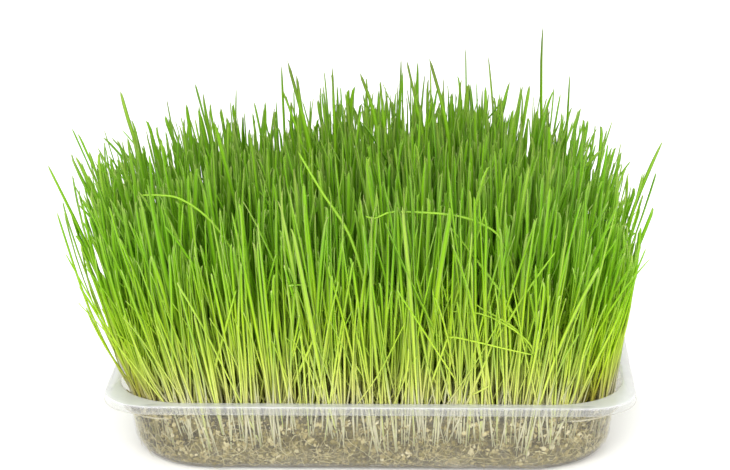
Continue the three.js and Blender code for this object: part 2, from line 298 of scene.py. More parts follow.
# The ways that an outline's points are worked out: a point is corner centre times its
# share, plus the corner's radius times its heading. Corners get cornerSteps, and the
# straight sides sideSteps, with their points spaced evenly.
def outlineShares(cornerSteps, sideSteps):
    quarter = np.linspace(0, np.pi / 2, cornerSteps + 1)
    along = np.arange(1, sideSteps)[:, None] / sideSteps
    corners = np.array([(1, 1), (-1, 1), (-1, -1), (1, -1)])
    share, heading = [], []
    for turn, here, following in zip(range(4), corners, np.roll(corners, -1, axis=0)):
        angle = quarter + turn * np.pi / 2
        share += [np.tile(here, (cornerSteps + 1, 1)), here * (1 - along) + following * along]
        heading.append(np.stack([np.cos(angle), np.sin(angle)], 1))
        heading.append(np.tile(heading[-1][-1:], (sideSteps - 1, 1)))
    return np.concatenate(share), np.concatenate(heading).round(12)


# Points of a rounded rectangle for those shares, at an inset and a corner radius.
def onOutline(share, heading, inset, corner):
    inset, corner = np.asarray(inset)[..., None], np.asarray(corner)[..., None]
    return share * (tray["halves"] - inset - corner) + heading * corner


# How far plan points are, along X and Y, past the centres of that rectangle's corners.
def pastCorners(plan, inset, corner):
    return np.abs(plan) - (tray["halves"] - np.asarray(inset)[..., None] - np.asarray(corner)[..., None])


# Inset and corner radius of the wall's outside at a height, moved in by off. The corner
# narrows from the mouth to the ledge and widens below it, over the ledge's small slope.
def wallAt(z, off=0.0):
    z = np.asarray(z, float)
    inset = tray["flangeWidth"] - tray["cadWall"] + (tray["height"] - z) * tray["taper"] + off
    below = np.clip((tray["ledgeHeight"] - z) / (1.2 * mm) + 0.5, 0, 1)
    below = below * below * (3 - 2 * below)
    mouth = tray["mouthCorner"] + tray["cadWall"]
    drawn = np.clip((tray["height"] - z) / (tray["height"] - tray["ledgeHeight"]), 0, 1)
    upper = mouth + (tray["lipCorner"] - mouth) * drawn
    return inset, upper + (tray["ledgeCorner"] - upper) * below - off


# The same down to the floor: below the foot's round the inset follows its quarter circle.
def sideAt(z, off):
    radius = tray["footFillet"] - off
    z = np.asarray(z, float)
    low = np.clip((tray["footFillet"] - z) / radius, 0, 1)
    inset, corner = wallAt(np.maximum(z, tray["footFillet"]), off)
    tuck = radius * (1 - np.sqrt(1 - low**2))
    return inset + tuck, corner - tuck


# The tray's profile as rows of inset, corner radius, height and milkiness, from the floor
# up the outside, over the flange and down the inside.
def trayProfile():
    # one face of floor, foot and wall, moved in by off; the floor is raised a little inside the foot
    def face(off, top):
        angle = np.radians(np.linspace(0, 90, 9))
        radius = tray["footFillet"] - off
        turn = radius * (1 - np.sin(angle))
        level = tray["footFillet"] - radius * np.cos(angle)
        inset, corner = wallAt(tray["footFillet"], off)
        foot = np.stack([inset + turn, corner - turn, level, np.full(9, 0.06)], 1)
        floor = foot[0] + mm * np.array([
            (26, -26, 0.9, 0), (12, -12, 0.9, 0), (10.8, -10.8, 0.6, 0), (10, -10, 0.2, 0), (9, -9, 0, 0)])
        heights = np.array([20.0, 28.0, 30.0, 30.4, 30.7, 31.0, 31.3, 31.6, 31.9, 32.5, 37.0, top]) * mm
        milk = np.interp(heights / mm, [26, 33], [0.02, 0.06])
        return np.concatenate([floor, foot, np.stack([*wallAt(heights, off), heights, milk], 1)])

    # rows in mm outwards from an inset and down from the top, with their milkiness
    def near(inset, corner, rows):
        return [(inset - out * mm, corner + out * mm, tray["height"] - down * mm, milk)
                for out, down, milk in rows]

    wall, skirt = tray["wall"] / mm, tray["skirt"] / mm
    under = [(0.5, wall + 0.25, 0.3), (1.2, wall, 0.36)]
    edge = [
        (-1.5, 0.6, 0.2), (-0.95, 0.8, 0.2), (-0.7, 1.2, 0.12),
        # down inside the skirt, round its lip and up its outside
        (-0.45, skirt - 0.9, 0.12), (-0.2, skirt - 0.4, 0.14), (0.35, skirt - 0.1, 0.34),
        (0.4, skirt, 0.44), (0.15, skirt, 0.44), (0.1, skirt - 0.4, 0.24), (0.0, 1.1, 0.24),
        # the fold and the flange's top
        (-0.1, 0.6, 0.26), (-0.25, 0.3, 0.56), (-0.5, 0.08, 0.56), (-0.8, 0.0, 0.56), (-3.6, 0.0, 0.58)]
    over = [(1.6, 0.0, 0.55), (0.8, 0.1, 0.5), (0.2, 0.5, 0.35)]
    return np.concatenate([
        face(0.0, 40.6),
        near(*wallAt(tray["height"]), under),
        near(0.0, tray["flangeCorner"], edge),
        near(*wallAt(tray["height"], tray["wall"]), over),
        face(tray["wall"], 40.4)[::-1],
    ])


# The tray's shell: its profile carried round the outline, closed by two flat caps.
def makeTray(finish):
    profile = trayProfile()
    share, heading = outlineShares(16, 10)
    inset, corner, z, milk = profile.T
    plan = onOutline(share[None], heading[None], inset[:, None], corner[:, None])
    points = np.concatenate([plan, np.broadcast_to(z[:, None, None], plan.shape[:2] + (1,))], -1)
    # the ledge shows only round the corners, where the wall steps in; the flange is milkier there
    ledge = (np.abs(z - tray["ledgeHeight"] - 0.75 * mm) < 0.2 * mm) & (inset > 5 * mm)
    flat = z > tray["height"] - 0.2 * mm
    turning = np.clip(np.abs(heading).min(1) * 6, 0, 1)
    added = tray["ledgeMilk"] * ledge + tray["cornerMilk"] * flat
    values = {"milk": (milk[:, None] + added[:, None] * turning).ravel()}
    faces = ringFaces(1, len(profile), len(share))
    makePiece("tray_shell", points, faces, finish, "tray", values)


# Clear plastic: see-through with a milky veil, painted shade on its upright faces, and gloss that grows at
# grazing angles.
def trayFinish():
    finish = Finish("milky_plastic")
    milk = finish.attribute("milk")
    height = finish.add("ShaderNodeSeparateXYZ", None, {"Vector": finish.place()}, output="Z")
    cloud = finish.noise(60.0, 3.0)
    # dew on the inside: soft pale patches over the lower wall
    dew = finish.noise(75.0, 5.0, 0.65).fade(0.5, 0.68)
    low = height.fade(0.018, 0.006)
    foot = height.fade(0.011, 0.003) * 0.06 + height.fade(0.004, 0.001) * 0.3
    # painted shade in the veil: darker and greyer on the upright faces of the wall and skirt than on the
    # flange top, which the top light falls on, and darkest round the foot's edge
    veilTintAndShade = finish.ramp(height * 20.0, [
        (0.012, 124, 120, 108), (0.036, 206, 197, 176), (0.08, 196, 188, 164), (0.13, 178, 171, 146),
        (0.5, 180, 173, 148), (0.75, 190, 184, 160), (0.76, 168, 168, 164), (0.812, 168, 168, 164),
        (0.82, 205, 205, 207)])
    body = finish.principled(
        Base_Color=veilTintAndShade, Roughness=0.3, IOR=1.45,
        Alpha=milk * (0.8 + 0.4 * cloud) + dew * (0.03 + 0.1 * low) + foot)
    gloss = finish.add("ShaderNodeBsdfGlossy", None, {"Color": (1, 1, 1, 1), "Roughness": 0.12})
    grazing = finish.add("ShaderNodeLayerWeight", None, {"Blend": 0.5}, output="Facing")
    edge = grazing**5 * 0.5 * height.fade(0.001, 0.008) + 0.025
    return finish.finish(finish.add("ShaderNodeMixShader", None, {0: edge, 1: body, 2: gloss}))


makeTray(trayFinish())
print("tray made")


# Growing medium

medium = {
    "top": 29.5 * mm,
    "bottom": 1.0 * mm,
    "wave": 1.3 * mm,
    "lump": 0.42 * mm,
    "hollow": 3.5 * mm,  # at the right front
    "bank": (5.5 * mm, 8 * mm),  # how high it is banked up along the wall, and how far in
    # between the block's side and the wall's outside: at the floor, and from 12 mm up
    "fromWall": (0.9 * mm, 2.1 * mm),
    "wallCrumbs": 10200,
    "topCrumbs": 1800,
    "crumbSize": (0.5 * mm, 3.1 * mm),  # half of a crumb's longest side
    "roots": 300,
    "rootRadius": (0.07 * mm, 0.17 * mm),
    "fibres": 850,
    "fibreLength": (3 * mm, 13 * mm),
    "fibreRadius": (0.1 * mm, 0.24 * mm),
    "husks": 90,
    "huskLength": (4.5 * mm, 7.5 * mm),
    "huskOnShow": np.array([-60, -81, 41.5]) * mm,  # caught among the stems at the front
    "seed": 41,
}


# Height of the medium's top: slow waves, finer lumps, a hollow at the right front, and a
# ragged bank along the wall that falls off with the square of the way in.
def groundAt(x, y):
    plan = np.stack([x, y], -1)
    slow = medium["wave"] * np.sin(x / (21 * mm) + 0.8) * np.cos(y / (17 * mm) - 0.4)
    hollow = np.clip((x - 80 * mm) / (40 * mm), 0, 1) * np.clip((-y - 55 * mm) / (20 * mm), 0, 1)
    inset, corner = wallAt(medium["top"], tray["wall"])
    beyond = pastCorners(plan, inset, corner)
    inwards = corner - np.linalg.norm(np.maximum(beyond, 0), axis=-1) - np.minimum(beyond.max(-1), 0)
    high, wide = medium["bank"]
    ragged = np.clip(0.7 + 0.35 * lumps(plan, 11 * mm, 29), 0.1, 1)
    bank = high * np.clip(1 - inwards / wide, 0, 1) ** 2 * ragged
    lumpy = medium["lump"] * lumps(plan, 9 * mm, 5)
    return medium["top"] + slow + lumpy - medium["hollow"] * hollow + bank


# Which plan points are inside the wall at the medium's top, by a margin.
def withinWall(plan, margin):
    inset, corner = wallAt(medium["top"], margin)
    return np.hypot(*np.maximum(pastCorners(plan, inset, corner), 0).T) <= corner


# The block: rings up the side, then over the top towards the middle, all lumpy. The first
# ring is its underside's, sideRings more go up the side, and the rest lie on the top.
def makeBlock(finish):
    share, heading = outlineShares(14, 22)
    around, sideRings = len(share), 16
    heights = np.linspace(medium["bottom"] + 0.2 * mm, medium["top"] - 1 * mm, sideRings)
    inset, corner = sideAt(heights, np.interp(heights, [0, 12 * mm], medium["fromWall"]))
    shrink = np.linspace(0, 1, 26) ** 0.9
    topInset = inset[-1] + 1 * mm + shrink * (tray["halves"][1] - inset[-1] - 4 * mm)
    topCorner = np.maximum(corner[-1] - 1 * mm - shrink * tray["halves"][1] * 0.5, 1 * mm)
    insets = np.r_[inset[0] + 3 * mm, inset, topInset]
    corners = np.r_[corner[0] - 3 * mm, corner, topCorner]
    plan = onOutline(share[None], heading[None], insets[:, None], corners[:, None])
    level = np.r_[medium["bottom"], heights, np.zeros(len(topInset))]
    z = np.repeat(level[:, None], around, 1)
    side, top = slice(1, sideRings + 1), slice(sideRings + 1, None)
    z[top] = groundAt(plan[top, :, 0], plan[top, :, 1])
    points = np.dstack([plan, z])
    points[side, :, :2] -= heading[None] * np.abs(lumps(points, 5 * mm, 11))[side, :, None] * 0.75 * mm
    faces = ringFaces(1, len(insets), around)
    makePiece("medium_block", points, faces, finish, "growing_medium")


# Places along the wall: plan points and their headings outwards. spot is the share of the
# way round, and reach how far in from the wall's outside each lies at its height.
def alongWall(spot, height, reach):
    share, heading = outlineShares(24, 40)
    closed = np.r_[np.arange(len(share)), 0]
    nominal = onOutline(share, heading, *wallAt(20 * mm))[closed]
    length = np.r_[0, np.cumsum(np.linalg.norm(np.diff(nominal, axis=0), axis=1))]
    spot = spot % 1.0 * length[-1]
    shareAt = np.stack([np.interp(spot, length, share[closed, k]) for k in (0, 1)], 1)
    headingAt = np.stack([np.interp(spot, length, heading[closed, k]) for k in (0, 1)], 1)
    headingAt = unit(headingAt)
    return onOutline(shareAt, headingAt, *sideAt(height, reach)), headingAt


# The way that the wall's outside faces, from its heading in plan.
def wallNormal(heading):
    return unit(np.column_stack([heading, np.full(len(heading), -tray["taper"])]))


# A draw of places over the medium's top, kept inside the wall by margin.
def overTop(draw, count, margin):
    spot = draw.uniform(-1, 1, (count * 2, 2)) * (tray["halves"] - wallAt(medium["top"], margin)[0])
    return spot[withinWall(spot, margin)][:count]


# Turns from random unit vectors: each row three axes at right angles.
def randomTurns(draw, count):
    first = unit(draw.normal(size=(count, 3)))
    second = unit(np.cross(first, draw.normal(size=(count, 3))))
    return np.stack([first, second, np.cross(first, second)], 1)


# An icosahedron's corners, from the golden ratio, and its 20 faces.
golden = (1 + 5**0.5) / 2
ballPoints = np.array([
    np.roll((one, big, 0), turn) for turn in range(3) for big in (golden, -golden) for one in (-1, 1)])
ballPoints = ballPoints / (1 + golden**2) ** 0.5
ballFaces = np.array([
    (0, 11, 5), (0, 5, 1), (0, 1, 7), (0, 7, 10), (0, 10, 11), (1, 5, 9), (5, 11, 4), (11, 10, 2),
    (10, 7, 6), (7, 1, 8), (3, 9, 4), (3, 4, 2), (3, 2, 6), (3, 6, 8), (3, 8, 9), (4, 9, 5), (2, 4, 11),
    (6, 2, 10), (8, 6, 7), (9, 8, 1),
])


# Moves points that are past the wall's inside back onto it in plan, and up to the floor's
# top: how far a point is out is its distance from the rounded corner less the radius.
def pressInside(points, gap):
    z = np.maximum(points[..., 2], medium["bottom"] - 0.1 * mm)
    inset, corner = sideAt(z, tray["wall"] + gap)
    beyond = np.maximum(pastCorners(points[..., :2], inset, corner), 0)
    far = np.linalg.norm(beyond, axis=-1)
    out = np.maximum(far - corner, 0)
    back = np.sign(points[..., :2]) * beyond / np.maximum(far, 1e-9)[..., None] * out[..., None]
    return np.concatenate([points[..., :2] - back, z[..., None]], -1)


# Crumbs: icosahedra at these places, each stretched along its three axes, with its corners
# drawn in or out, and turned at random. Their tones are a draw each plus a lumpy field, and
# those at the wall are pressed flat against it.
def makeCrumbs(name, places, sizes, draw, finish):
    count = len(places)
    squash = draw.uniform(0.3, 1.0, (count, 1, 3))
    dents = draw.uniform(0.78, 1.12, (count, len(ballPoints), 1))
    shape = ballPoints[None] * squash * dents * sizes[:, None, None]
    points = np.einsum("nij,njk->nik", shape, randomTurns(draw, count)) + places[:, None]
    points = pressInside(points, 0.05 * mm)
    faces = (ballFaces[None] + (np.arange(count) * len(ballPoints))[:, None, None]).reshape(-1, 3)
    tone = np.clip(draw.beta(1.1, 1.2, count) + 0.16 * lumps(places, 9 * mm, 23), 0, 1)
    values = {"tone": np.repeat(tone, len(ballPoints))}
    makePiece(name, points, faces.tolist(), finish, values=values, smooth=False)


# Grains against the wall, from the floor up to the bank's top: partly sunk in the block, and
# less deep near the floor, where the block is close to the wall.
def makeWallCrumbs(finish):
    draw = np.random.default_rng(medium["seed"])
    low, high = medium["crumbSize"]
    count = medium["wallCrumbs"]
    size = low + (high - low) * draw.beta(1.5, 2.4, count)
    highest = medium["top"] + medium["bank"][0] + 0.6 * mm
    height = draw.uniform(medium["bottom"] + 0.5 * mm, highest, count)
    deep = np.interp(height, [0, 12 * mm], [0.1, 1.0])
    reach = tray["wall"] + 0.1 * mm + size * 0.5 + (0.6 * mm + draw.uniform(0, 1.5 * mm, count)) * deep
    plan = alongWall(draw.random(count), height, reach)[0]
    kept = height < groundAt(plan[:, 0], plan[:, 1]) + 0.4 * mm
    makeCrumbs("medium_wall_crumbs", np.column_stack([plan, height])[kept], size[kept], draw, finish)


# Grains strewn over the top.
def makeTopCrumbs(finish):
    draw = np.random.default_rng(medium["seed"] + 3)
    low, high = medium["crumbSize"]
    spot = overTop(draw, medium["topCrumbs"], 2.5 * mm)
    size = low + (high - low) * draw.beta(1.2, 3.0, len(spot))
    places = np.column_stack([spot, groundAt(spot[:, 0], spot[:, 1]) + size * 0.3])
    makeCrumbs("medium_top_crumbs", places, size, draw, finish)


# The middle lines of curly strands: a straight run, moved sideways by a sine wave of random
# size and length, and by a drift that grows with the square of the way along.
def strandLines(draw, start, direction, normal, length, steps, curl):
    along = np.linspace(0, 1, steps)[None, :, None]
    side = np.cross(direction, normal)
    sway = draw.normal(size=(len(start), 1, 1)) * np.sin(along * draw.uniform(2, 5, (len(start), 1, 1)))
    drift = draw.normal(size=(len(start), 1, 1)) * along**2
    lines = start[:, None] + direction[:, None] * length[:, None, None] * along
    return lines + side[:, None] * (sway + drift) * curl * length[:, None, None]


# Tubes of a radius along lines (strands, steps, 3), with three sides and a closed tip.
def strandPoints(lines, radius, normal):
    tangent = unit(np.gradient(lines, axis=1))
    side = np.cross(tangent, normal[:, None])
    side /= np.maximum(np.linalg.norm(side, axis=2, keepdims=True), 1e-6)
    up = np.cross(side, tangent)
    angle = np.arange(3) * 2 * np.pi / 3
    thin = radius[:, None, None, None] * (1 - 0.6 * np.linspace(0, 1, lines.shape[1]))[None, :, None, None]
    ring = side[:, :, None] * np.cos(angle)[:, None] + up[:, :, None] * np.sin(angle)[:, None]
    rings = lines[:, :, None] + ring * thin
    tips = lines[:, -1:] + (lines[:, -1:] - lines[:, -2:-1]) * 0.3
    return np.concatenate([rings.reshape(len(lines), -1, 3), tips], 1)


# Pale wood fibres against the wall, each in the wall's plane at a slope of its own. Near
# the corners they are short, and those that would leave the medium are dropped.
def makeFibres(finish):
    draw = np.random.default_rng(medium["seed"] + 1)
    count = medium["fibres"]
    steps = 7
    height = draw.uniform(medium["bottom"] + 2 * mm, medium["top"] - 1 * mm, count)
    height = height * np.where(draw.random(count) < 0.5, 0.72, 1.0) + 1 * mm  # half of them lie lower
    radius = draw.uniform(*medium["fibreRadius"], count)
    plan, heading = alongWall(draw.random(count), height, tray["wall"] + 0.15 * mm + radius)
    normal = wallNormal(heading)
    flat = np.column_stack([-heading[:, 1], heading[:, 0], np.zeros(count)])
    slope = draw.uniform(-1.2, 1.2, count)
    rise = np.cross(normal, flat)
    direction = flat * np.cos(slope)[:, None] + rise * np.sin(slope)[:, None]
    length = draw.uniform(*medium["fibreLength"], count)
    atCorner = np.abs(heading).min(1) > 0.02
    length = np.where(atCorner, np.minimum(length, 8 * mm), length)
    lines = strandLines(draw, np.column_stack([plan, height]), direction, normal, length, steps, 0.3)
    low = medium["bottom"] + 1 * mm
    inside = (lines[:, :, 2].min(1) > low) & (lines[:, :, 2].max(1) < medium["top"] + 3 * mm)
    inside &= (np.abs(lines[:, :, :2]).max(1) < tray["halves"] - np.array([12, 7]) * mm).all(1)
    lines, radius, normal = lines[inside], radius[inside], normal[inside]
    points = strandPoints(lines, radius, normal)
    faces = ringFaces(len(lines), steps, 3, pointed=True)
    tone = np.repeat(draw.uniform(0, 1, len(lines)), steps * 3 + 1)
    makePiece("medium_fibres", points, faces, finish, values={"tone": tone})


# Fine roots on the wall's inside: each runs down from its start, sways sideways by two
# waves and drifts off towards the foot.
def makeRoots(finish):
    draw = np.random.default_rng(medium["seed"] + 4)
    count, steps = medium["roots"], 18
    along = np.linspace(0, 1, steps)[None]

    def each(low, high):
        return draw.uniform(low, high, (count, 1))

    top = each(9 * mm, medium["top"])
    height = top + (each(3.5 * mm, 9 * mm) - top) * along ** each(0.4, 1.2)
    height = height + np.sin(along * each(5, 14) + each(0, 6.3)) * each(0.2, 0.9) * mm * along
    spot = each(0, 1) + draw.normal(size=(count, 1)) * 0.014 * along ** each(1, 3)
    spot = spot + each(0.0005, 0.0022) * np.sin(along * each(4, 11) + each(0, 6.3))
    radius = draw.uniform(*medium["rootRadius"], count)
    reach = tray["wall"] + 0.1 * mm + np.repeat(radius, steps)
    plan, heading = alongWall(spot.ravel(), height.ravel(), reach)
    lines = np.column_stack([plan, height.ravel()]).reshape(count, steps, 3)
    tone = np.repeat(draw.uniform(0.6, 1, count), steps * 3 + 1)
    points = strandPoints(lines, radius, wallNormal(heading[steps // 2 :: steps]))
    faces = ringFaces(count, steps, 3, pointed=True)
    makePiece("wall_roots", points, faces, finish, values={"tone": tone})


# Empty seed husks: spindles round their long axis, whose girth is one less the square of the
# way along, to the power 0.7, with a crease down one side. They lie on the top, and one is
# caught among the stems.
def makeHusks(finish):
    draw = np.random.default_rng(medium["seed"] + 2)
    rings, around = 9, 8
    along = np.linspace(-0.97, 0.97, rings)[:, None]
    angle = (np.arange(around) * 2 * np.pi / around)[None]
    girth = (1 - along**2) ** 0.7 * (1 - 0.3 * np.exp(-((angle - np.pi) ** 2) / 0.3))
    shape = np.stack(np.broadcast_arrays(
        along, girth * np.cos(angle) * 0.33, girth * np.sin(angle) * 0.3), -1)
    spot = overTop(draw, medium["husks"], 4 * mm)
    count = len(spot)
    places = np.column_stack([spot, groundAt(spot[:, 0], spot[:, 1]) + 1 * mm])
    size = draw.uniform(*medium["huskLength"], count) / 2
    yaw = draw.uniform(0, np.pi, count)
    pitch = draw.normal(size=count) * 0.35
    places[0], size[0], yaw[0], pitch[0] = medium["huskOnShow"], 4.6 * mm, 0.1, 0.05
    long = np.stack([np.cos(yaw) * np.cos(pitch), np.sin(yaw) * np.cos(pitch), np.sin(pitch)], -1)
    wide = np.stack([-np.sin(yaw), np.cos(yaw), np.zeros(count)], -1)
    turns = np.stack([long, wide, np.cross(long, wide)], 1)
    points = np.einsum("nj,cjk->cnk", shape.reshape(-1, 3), turns) * size[:, None, None] + places[:, None]
    tone = draw.uniform(0.5, 1, count)
    tone[0] = 1.0
    values = {"tone": np.repeat(tone, rings * around)}
    faces = ringFaces(count, rings, around)
    makePiece("seed_husks", points, faces, finish, values=values)


# Moist fibre and mineral mix: patches of grey, brown and tan, broken by cells.
def mediumFinish():
    finish = Finish("moist_medium")
    sockets = {"Vector": finish.place(), "Scale": 420.0}
    cells = finish.add("ShaderNodeTexVoronoi", None, sockets, output="Distance")
    base = finish.ramp(finish.noise(90.0, 4.0, 0.6), [
        (0.3, 54, 46, 20), (0.45, 108, 96, 46), (0.56, 146, 134, 76),
        (0.7, 92, 84, 42)])
    shaded = base.blend(cells.fade(0.0, 0.9) * 0.8, colour(36, 30, 16))
    return finish.finish(finish.principled(
        Base_Color=shaded, Roughness=0.85, Normal=finish.bump(cells, 0.6, 0.0008)))


# Grains from dark humus to pale wood by their tone, with fine dark specks.
def crumbFinish():
    finish = Finish("crumbs")
    base = finish.ramp(finish.attribute("tone"), [
        (0.0, 46, 38, 14), (0.28, 94, 83, 38), (0.5, 142, 130, 76),
        (0.7, 172, 159, 110), (0.88, 192, 181, 136), (1.0, 216, 207, 172)])
    mottled = base.blend(finish.noise(900.0).fade(0.35, 0.7) * 0.3, colour(84, 76, 46))
    return finish.finish(finish.principled(Base_Color=mottled, Roughness=0.75))


# Pale straw, paler with the tone, in darker and lighter stretches.
def fibreFinish():
    finish = Finish("pale_fibre")
    tone = finish.attribute("tone")
    base = finish.ramp(tone, [(0.0, 138, 126, 80), (0.6, 190, 180, 134), (1.0, 222, 216, 178)])
    tinted = base.blend(finish.noise(700.0).fade(0.4, 0.7) * 0.3, colour(150, 138, 96))
    return finish.finish(finish.principled(Base_Color=tinted, Roughness=0.6))


# Golden to cream by the tone, with the light gloss of a dry husk.
def huskFinish():
    finish = Finish("dry_husk")
    base = finish.ramp(finish.attribute("tone"), [(0.5, 206, 180, 104), (1.0, 248, 236, 178)])
    return finish.finish(finish.principled(Base_Color=base, Roughness=0.45))


makeBlock(mediumFinish())
crumb = crumbFinish()
makeWallCrumbs(crumb)
makeTopCrumbs(crumb)
fibre = fibreFinish()
makeFibres(fibre)
makeRoots(fibre)
makeHusks(huskFinish())
print("growing medium made")


# Seedlings

grass = {
    "area": np.array([128, 84]) * mm,  # half of the field that the added blades are sown in
    "pitch": 3.65 * mm,  # between their roots
    "jitter": 0.75,
    "clumpPitch": 16 * mm,
    "clumpPull": 0.36,
    "clumpLean": 5.0,  # degrees that a whole clump may lean
    "fromWall": 2.4 * mm,
    "length": 147 * mm,
    "lengthSpread": 8 * mm,
    # how much shorter the blades are, by the place of their root along X, both in mm
    "shorterAt": (
        (-122, 29), (-108, 26), (-85, 18), (-60, 20), (-36, 16), (-12, 7), (12, 0), (36, 0), (60, 3),
        (85, 13), (110, 35), (122, 50)),
    "shorter": 0.55,  # share of its length that the latest blade lacks
    "shortest": 58 * mm,
    "edge": np.array([122, 77]) * mm,  # where on X and Y a blade has the whole lean to a side
    "leanLeft": 26.0,  # degrees
    "leanRight": 11.5,
    # share of its lean that a blade loses on its way up: in the middle, at the far left
    "straighten": (0.4, 0.8),
    "leanSides": 8.0,
    "leanSpread": 4.0,
    "crossingShare": 0.2,
    "crossingLean": 17.0,
    "bend": 9.0,  # degrees more or less towards the tip
    "floppy": (0.05, 40.0),  # share of the added blades that bend over, and how far
    "width": (1.05 * mm, 2.75 * mm),
    "broad": 2.2 * mm,  # the least width of a blade of the solids
    "stemWidth": (0.7 * mm, 1.4 * mm),
    "hook": 2.3 * mm,  # how far a tip may be turned aside
    "hookShare": 0.55,
    # up to the first length all ends are blunt, and from the second all are pointed
    "pointed": (95 * mm, 175 * mm),
    "thickness": 0.5 * mm,
    "keel": 0.27,  # depth of the blade's fold, as a share of its width
    "rings": 10,
    "young": 1500,  # short thin blades, most of them near the two long sides
    "youngReach": 26 * mm,  # their mean way in from there
    "youngInFront": 0.68,  # share of them
    "youngLength": (40 * mm, 105 * mm),
    "youngLean": 15.0,
    "bundles": 104,
    "bundleStems": 6,
    "bundleFoot": (9 * mm, 22 * mm),  # height where a bundle of stems at the wall starts
    "bundleFan": 5.0,  # degrees
    "bundleCurl": 2.6 * mm,  # how far a stem's foot may be bent aside
    # sides of the whole: at the flange's height, and how they open out above it
    "leftSide": (-138 * mm, -0.3),
    "rightSide": (126 * mm, 0.24),
    "frontKept": 0.2,  # the share by which they are nearer, for a metre towards the front
    "tallestShift": np.array([-5.0, -9.0, -3.5]) * mm,  # along X, above its foot
    "sunk": 0.06,  # how much deeper a traced blade starts, as a share of its first stretch
    "box": 8 * mm,  # how far a blade may pass the solids' box
    "seed": 77,
}


# Follows each blade of a packed tuft from its pointed tip down, ring by ring. The loose
# triangles are merged by place; a tip is a corner of three faces above the crown. The
# result is four control points for each blade, of a curve from the crown to the tip: the two
# between them lie on its first and last stretch, at a share of the blade's length.
def traceBlades(name):
    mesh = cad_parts[name].data
    corners = np.empty(len(mesh.vertices) * 3, np.float32)
    mesh.vertices.foreach_get("co", corners)
    mesh.calc_loop_triangles()
    triangles = np.empty(len(mesh.loop_triangles) * 3, np.int32)
    mesh.loop_triangles.foreach_get("vertices", triangles)
    corners = corners.reshape(-1, 3).astype(float)
    _, first, merged = np.unique(np.round(corners * 1e6), axis=0, return_index=True, return_inverse=True)
    points = corners[first]
    faces = merged.reshape(-1)[triangles].reshape(-1, 3)
    levels, counts = np.unique(np.round(points[:, 2], 5), return_counts=True)
    crown = levels[counts.argmax()]
    above = points[:, 2] > crown + 1.5 * mm
    tips = np.flatnonzero(above & (np.bincount(faces.ravel(), minlength=len(points)) == 3))
    edges = np.concatenate([faces[:, [0, 1]], faces[:, [1, 2]], faces[:, [2, 0]]])
    edges = np.unique(np.concatenate([edges, edges[:, ::-1]]), axis=0)
    blade = np.full(len(points), -1)
    depth = np.zeros(len(points), int)
    blade[tips] = np.arange(len(tips))
    for step in range(1, 8):
        new = (blade[edges[:, 0]] >= 0) & (blade[edges[:, 1]] < 0) & above[edges[:, 1]]
        blade[edges[new, 1]] = blade[edges[new, 0]]
        depth[edges[new, 1]] = step

    def middle(member, which):
        total = np.zeros((len(tips), 3))
        number = np.zeros((len(tips), 1))
        np.add.at(total, which, points[member])
        np.add.at(number, which, 1.0)
        return total / np.maximum(number, 1.0)

    leaving = edges[(blade[edges[:, 0]] >= 0) & ~above[edges[:, 1]]]
    root = middle(leaving[:, 1], blade[leaving[:, 0]])
    deepest = np.zeros(len(tips), int)
    mine = np.flatnonzero(blade >= 0)
    np.maximum.at(deepest, blade[mine], depth[mine])
    lowRing = mine[depth[mine] == deepest[blade[mine]]]
    highRing = mine[depth[mine] == 1]
    low = middle(lowRing, blade[lowRing])
    high = middle(highRing, blade[highRing])
    tip = points[tips]
    length = np.linalg.norm(low - root, axis=1) + np.linalg.norm(high - low, axis=1)
    length = (length + np.linalg.norm(tip - high, axis=1))[:, None]
    return np.stack([
        root, root + unit(low - root) * length * 0.36, tip - unit(tip - high) * length * 0.3, tip], 1)


# Control points of curves of this length that start at a place with a lean towards X and Y
# in degrees. Three straight steps follow the lean, which shrinks in step with the share of
# the way up, and gains 1.6 times the bend times that share's cube.
def bladeCurves(plan, foot, lean, bend, length):
    root = np.column_stack([plan, foot])
    slant = np.linalg.norm(lean, axis=1, keepdims=True)
    heading = lean / np.maximum(slant, 1e-6)
    farLeft = np.clip(-root[:, :1] / grass["edge"][0], 0, 1) ** 2
    straighten = grass["straighten"][0] * (1 - farLeft) + grass["straighten"][1] * farLeft
    steps = length[:, None] / 3
    points = [root]
    for share in (1 / 6, 1 / 2, 5 / 6):
        angle = np.radians(slant * (1 - straighten * share) + bend[:, None] * share**3 * 1.6)
        points.append(points[-1] + np.concatenate([heading * np.sin(angle), np.cos(angle)], 1) * steps)
    return np.stack(points, 1)


# The lean that a blade has from its place alone: outwards, by a power of how near it is to
# each edge.
def edgeLean(plan):
    edge = plan / grass["edge"]
    sideways = np.abs(edge[:, 0]) ** 2.4 * np.where(edge[:, 0] < 0, -grass["leanLeft"], grass["leanRight"])
    forwards = np.sign(edge[:, 1]) * np.abs(edge[:, 1]) ** 3 * grass["leanSides"]
    return np.stack([sideways, forwards], 1)


# How much shorter the blades are along the tray: straight lines between the set places.
def endShortening(plan):
    along, shorter = np.array(grass["shorterAt"]).T * mm
    return np.interp(plan[:, 0], along, shorter)


